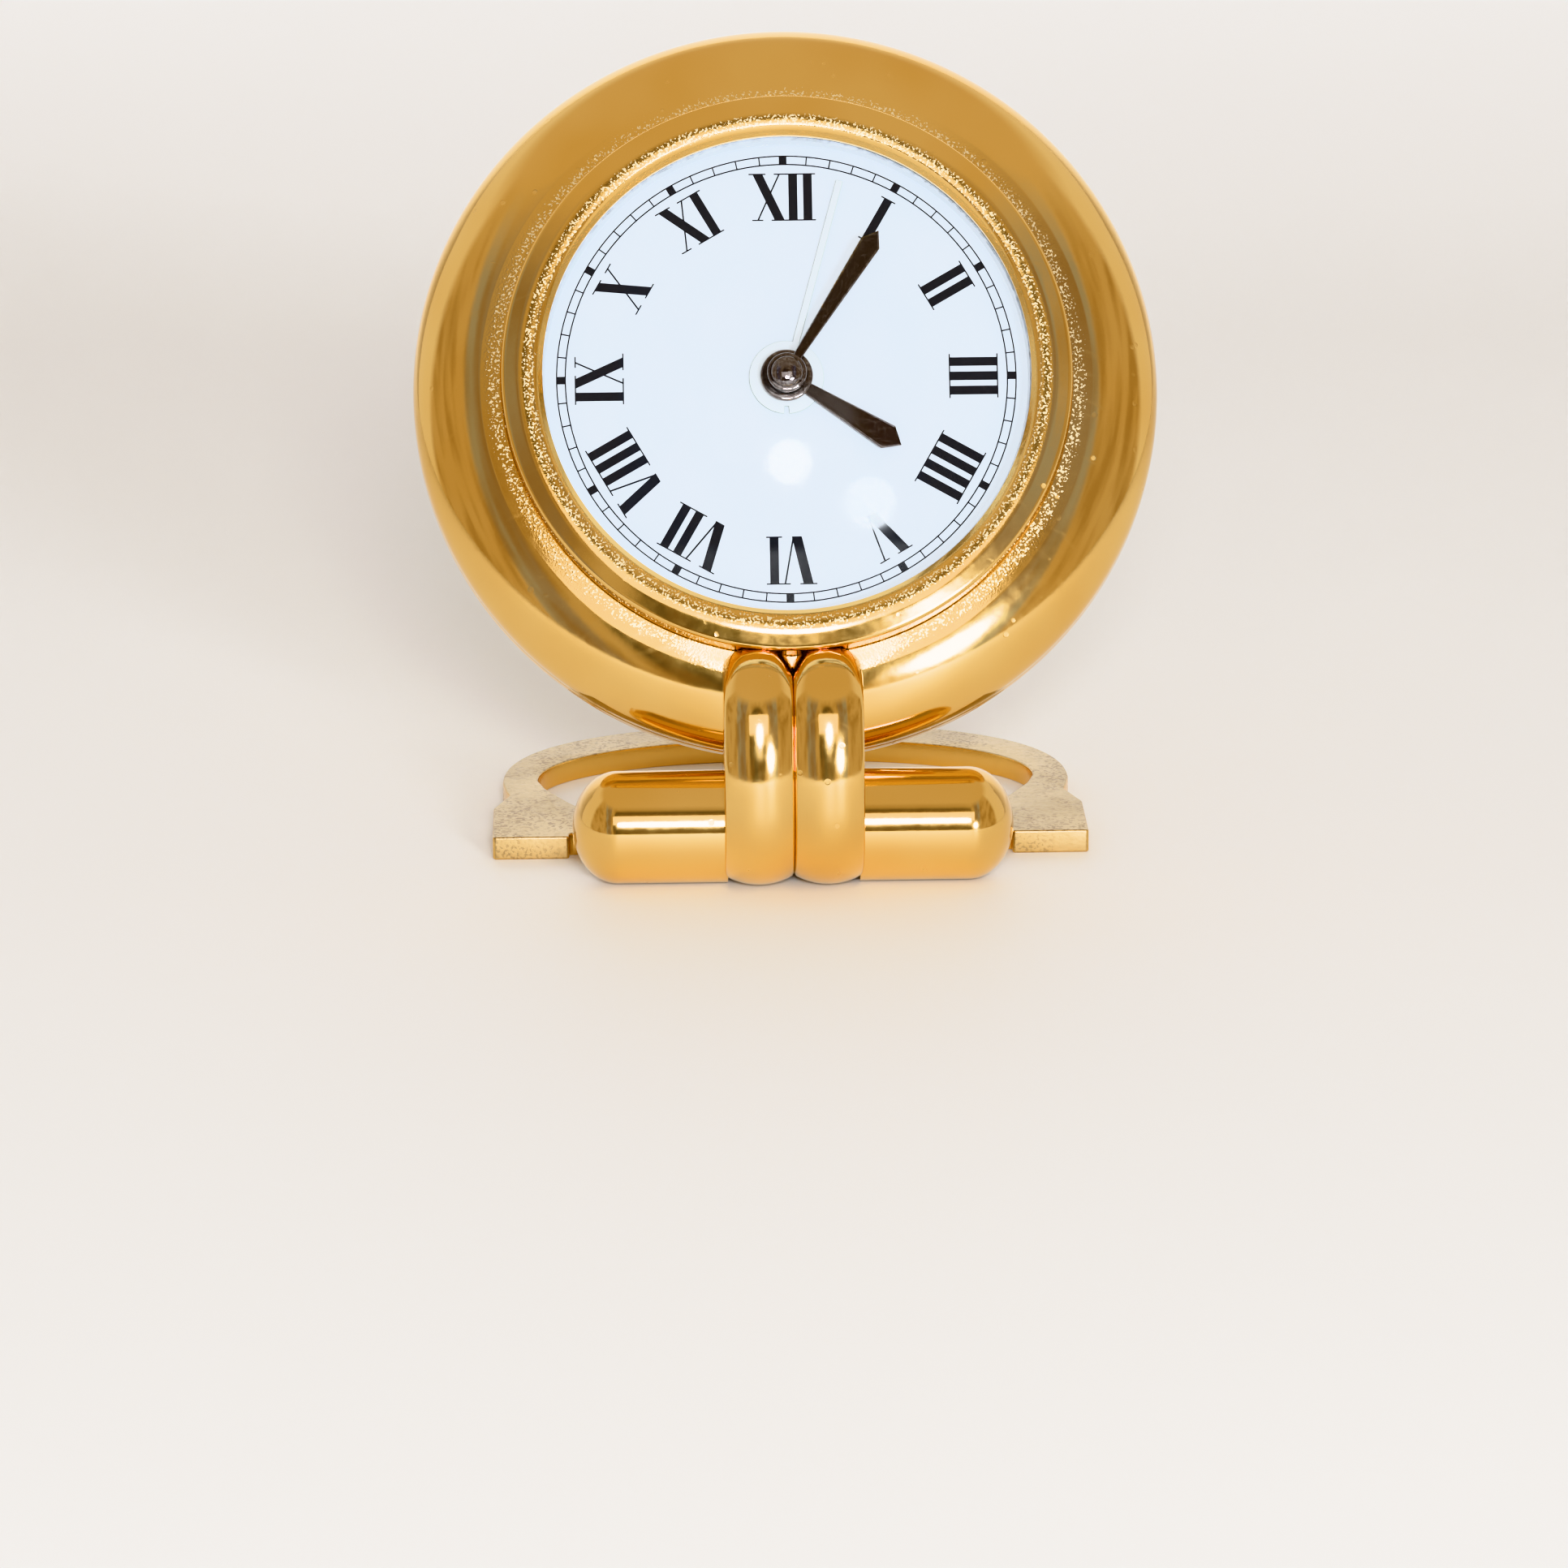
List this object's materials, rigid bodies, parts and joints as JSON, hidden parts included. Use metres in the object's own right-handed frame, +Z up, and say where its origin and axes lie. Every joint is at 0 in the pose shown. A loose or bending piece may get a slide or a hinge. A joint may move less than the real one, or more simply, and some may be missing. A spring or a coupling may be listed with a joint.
{
  "type": "travel alarm clock",
  "caption": "Round gold-plated travel alarm clock on a barred strap, with a stirrup-shaped stand that folds flat against its back.",
  "frame": {"origin": "middle of the footprint, on the table, with the stand open", "axes": "+X to the right of the dial, +Y from the dial to the back, +Z up"},
  "size_m": [0.07, 0.058, 0.0743],
  "materials": {
    "polished_gold": "polished gold plate on brass, fine pits and hairline scratches",
    "satin_gold": "gold plate with a fine satin, sparkling grain",
    "steel": "bright",
    "crystal": "polished, clear",
    "black_plastic": "matt",
    "black_rubber": "matt",
    "white_enamel": "smooth white enamel",
    "black_ink": "printed ink",
    "white_plastic": "moulded",
    "green_board": "lacquered board",
    "copper_wire": "enamelled copper wire",
    "brass": "bright",
    "black_nickel": "polished black nickel",
    "cream_paint": "cream paint"
  },
  "bodies": {
    "clock": {"strap": "polished_gold", "bar_left": "polished_gold", "bar_right": "polished_gold", "bar_axle": "steel", "case_front": "polished_gold", "case_back": "polished_gold", "bezel_ring": "polished_gold", "crystal": "crystal", "crystal_gasket": "black_rubber", "dial_flange": "white_enamel", "dial": "white_enamel", "dial_numerals": "black_ink", "minute_track": "black_ink", "movement_ring": "black_plastic", "main_plate": "black_plastic", "wheel_post": "steel", "train_bridge": "white_plastic", "bridge_screws": "steel", "circuit_board": "green_board", "quartz_can": "steel", "driver_chip": "black_plastic", "stator": "steel", "coil_core": "steel", "drive_coil": "copper_wire", "alarm_contact": "brass", "sounder": "brass", "battery_cup": "black_plastic", "battery": "steel", "contact_plus": "brass", "contact_minus": "brass", "back_cover": "polished_gold", "cover_gasket": "black_rubber", "cover_screws": "steel"},
    "stand": {"stirrup_stand": "satin_gold", "hinge_pin": "steel", "friction_washers": "steel"},
    "minute": {"centre_arbor": "steel", "minute_hand": "black_nickel", "minute_cap": "black_nickel"},
    "minute_wheel": {"minute_wheel": "brass"},
    "hour": {"hour_wheel": "brass", "hour_hand": "black_nickel"},
    "intermediate_wheel": {"intermediate_wheel": "brass"},
    "rotor": {"rotor": "steel"},
    "time_setter": {"time_shaft": "steel", "time_knob": "polished_gold"},
    "alarm": {"alarm_wheel": "brass", "alarm_hand": "cream_paint"},
    "alarm_setter": {"alarm_shaft": "steel", "alarm_knob": "polished_gold"},
    "alarm_switch": {"alarm_switch": "steel"},
    "battery_hatch": {"battery_hatch": "polished_gold"}
  },
  "joints": [
    {"name": "stand_fold", "type": "hinge", "parent": "clock", "child": "stand", "pos_m": [0, -0.0086, 0.0022], "axis": [1, 0, 0], "range_deg": [0, 63.5]},
    {"name": "minute_turn", "type": "hinge", "parent": "clock", "child": "minute", "pos_m": [0, -0.00128, 0.04244], "axis": [0, -0.8949, 0.4462], "continuous": true},
    {"name": "hour_turn", "type": "hinge", "parent": "clock", "child": "hour", "pos_m": [0, -0.00128, 0.04244], "axis": [0, -0.8949, 0.4462], "continuous": true},
    {"name": "minute_wheel_turn", "type": "hinge", "parent": "clock", "child": "minute_wheel", "pos_m": [-0.00716, -0.00164, 0.04173], "axis": [0, -0.8949, 0.4462], "continuous": true},
    {"name": "intermediate_turn", "type": "hinge", "parent": "clock", "child": "intermediate_wheel", "pos_m": [0.0036, -0.00407, 0.03686], "axis": [0, -0.8949, 0.4462], "continuous": true},
    {"name": "rotor_turn", "type": "hinge", "parent": "clock", "child": "rotor", "pos_m": [0.00999, -0.00303, 0.03894], "axis": [0, -0.8949, 0.4462], "continuous": true},
    {"name": "time_knob_turn", "type": "hinge", "parent": "clock", "child": "time_setter", "pos_m": [-0.00636, 0.00156, 0.04814], "axis": [0, -0.8949, 0.4462], "continuous": true},
    {"name": "alarm_turn", "type": "hinge", "parent": "clock", "child": "alarm", "pos_m": [0, -0.00128, 0.04244], "axis": [0, -0.8949, 0.4462], "continuous": true},
    {"name": "alarm_knob_turn", "type": "hinge", "parent": "clock", "child": "alarm_setter", "pos_m": [0.00636, 0.00156, 0.04814], "axis": [0, -0.8949, 0.4462], "continuous": true},
    {"name": "alarm_switch_slide", "type": "slide", "parent": "clock", "child": "alarm_switch", "axis": [0, 0.4462, 0.8949], "range_m": [0, 0.0025]},
    {"name": "hatch_turn", "type": "hinge", "parent": "clock", "child": "battery_hatch", "pos_m": [0, -0.00731, 0.03036], "axis": [0, -0.8949, 0.4462], "range_deg": [0, 60]}
  ],
  "couplings": [
    {"joint": "minute_wheel_turn", "follows": "minute_turn", "ratio": -0.33333},
    {"joint": "hour_turn", "follows": "minute_turn", "ratio": 0.083333},
    {"joint": "time_knob_turn", "follows": "minute_turn", "ratio": 1},
    {"joint": "intermediate_turn", "follows": "minute_turn", "ratio": -8},
    {"joint": "rotor_turn", "follows": "minute_turn", "ratio": 60},
    {"joint": "alarm_knob_turn", "follows": "alarm_turn", "ratio": -2}
  ]
}
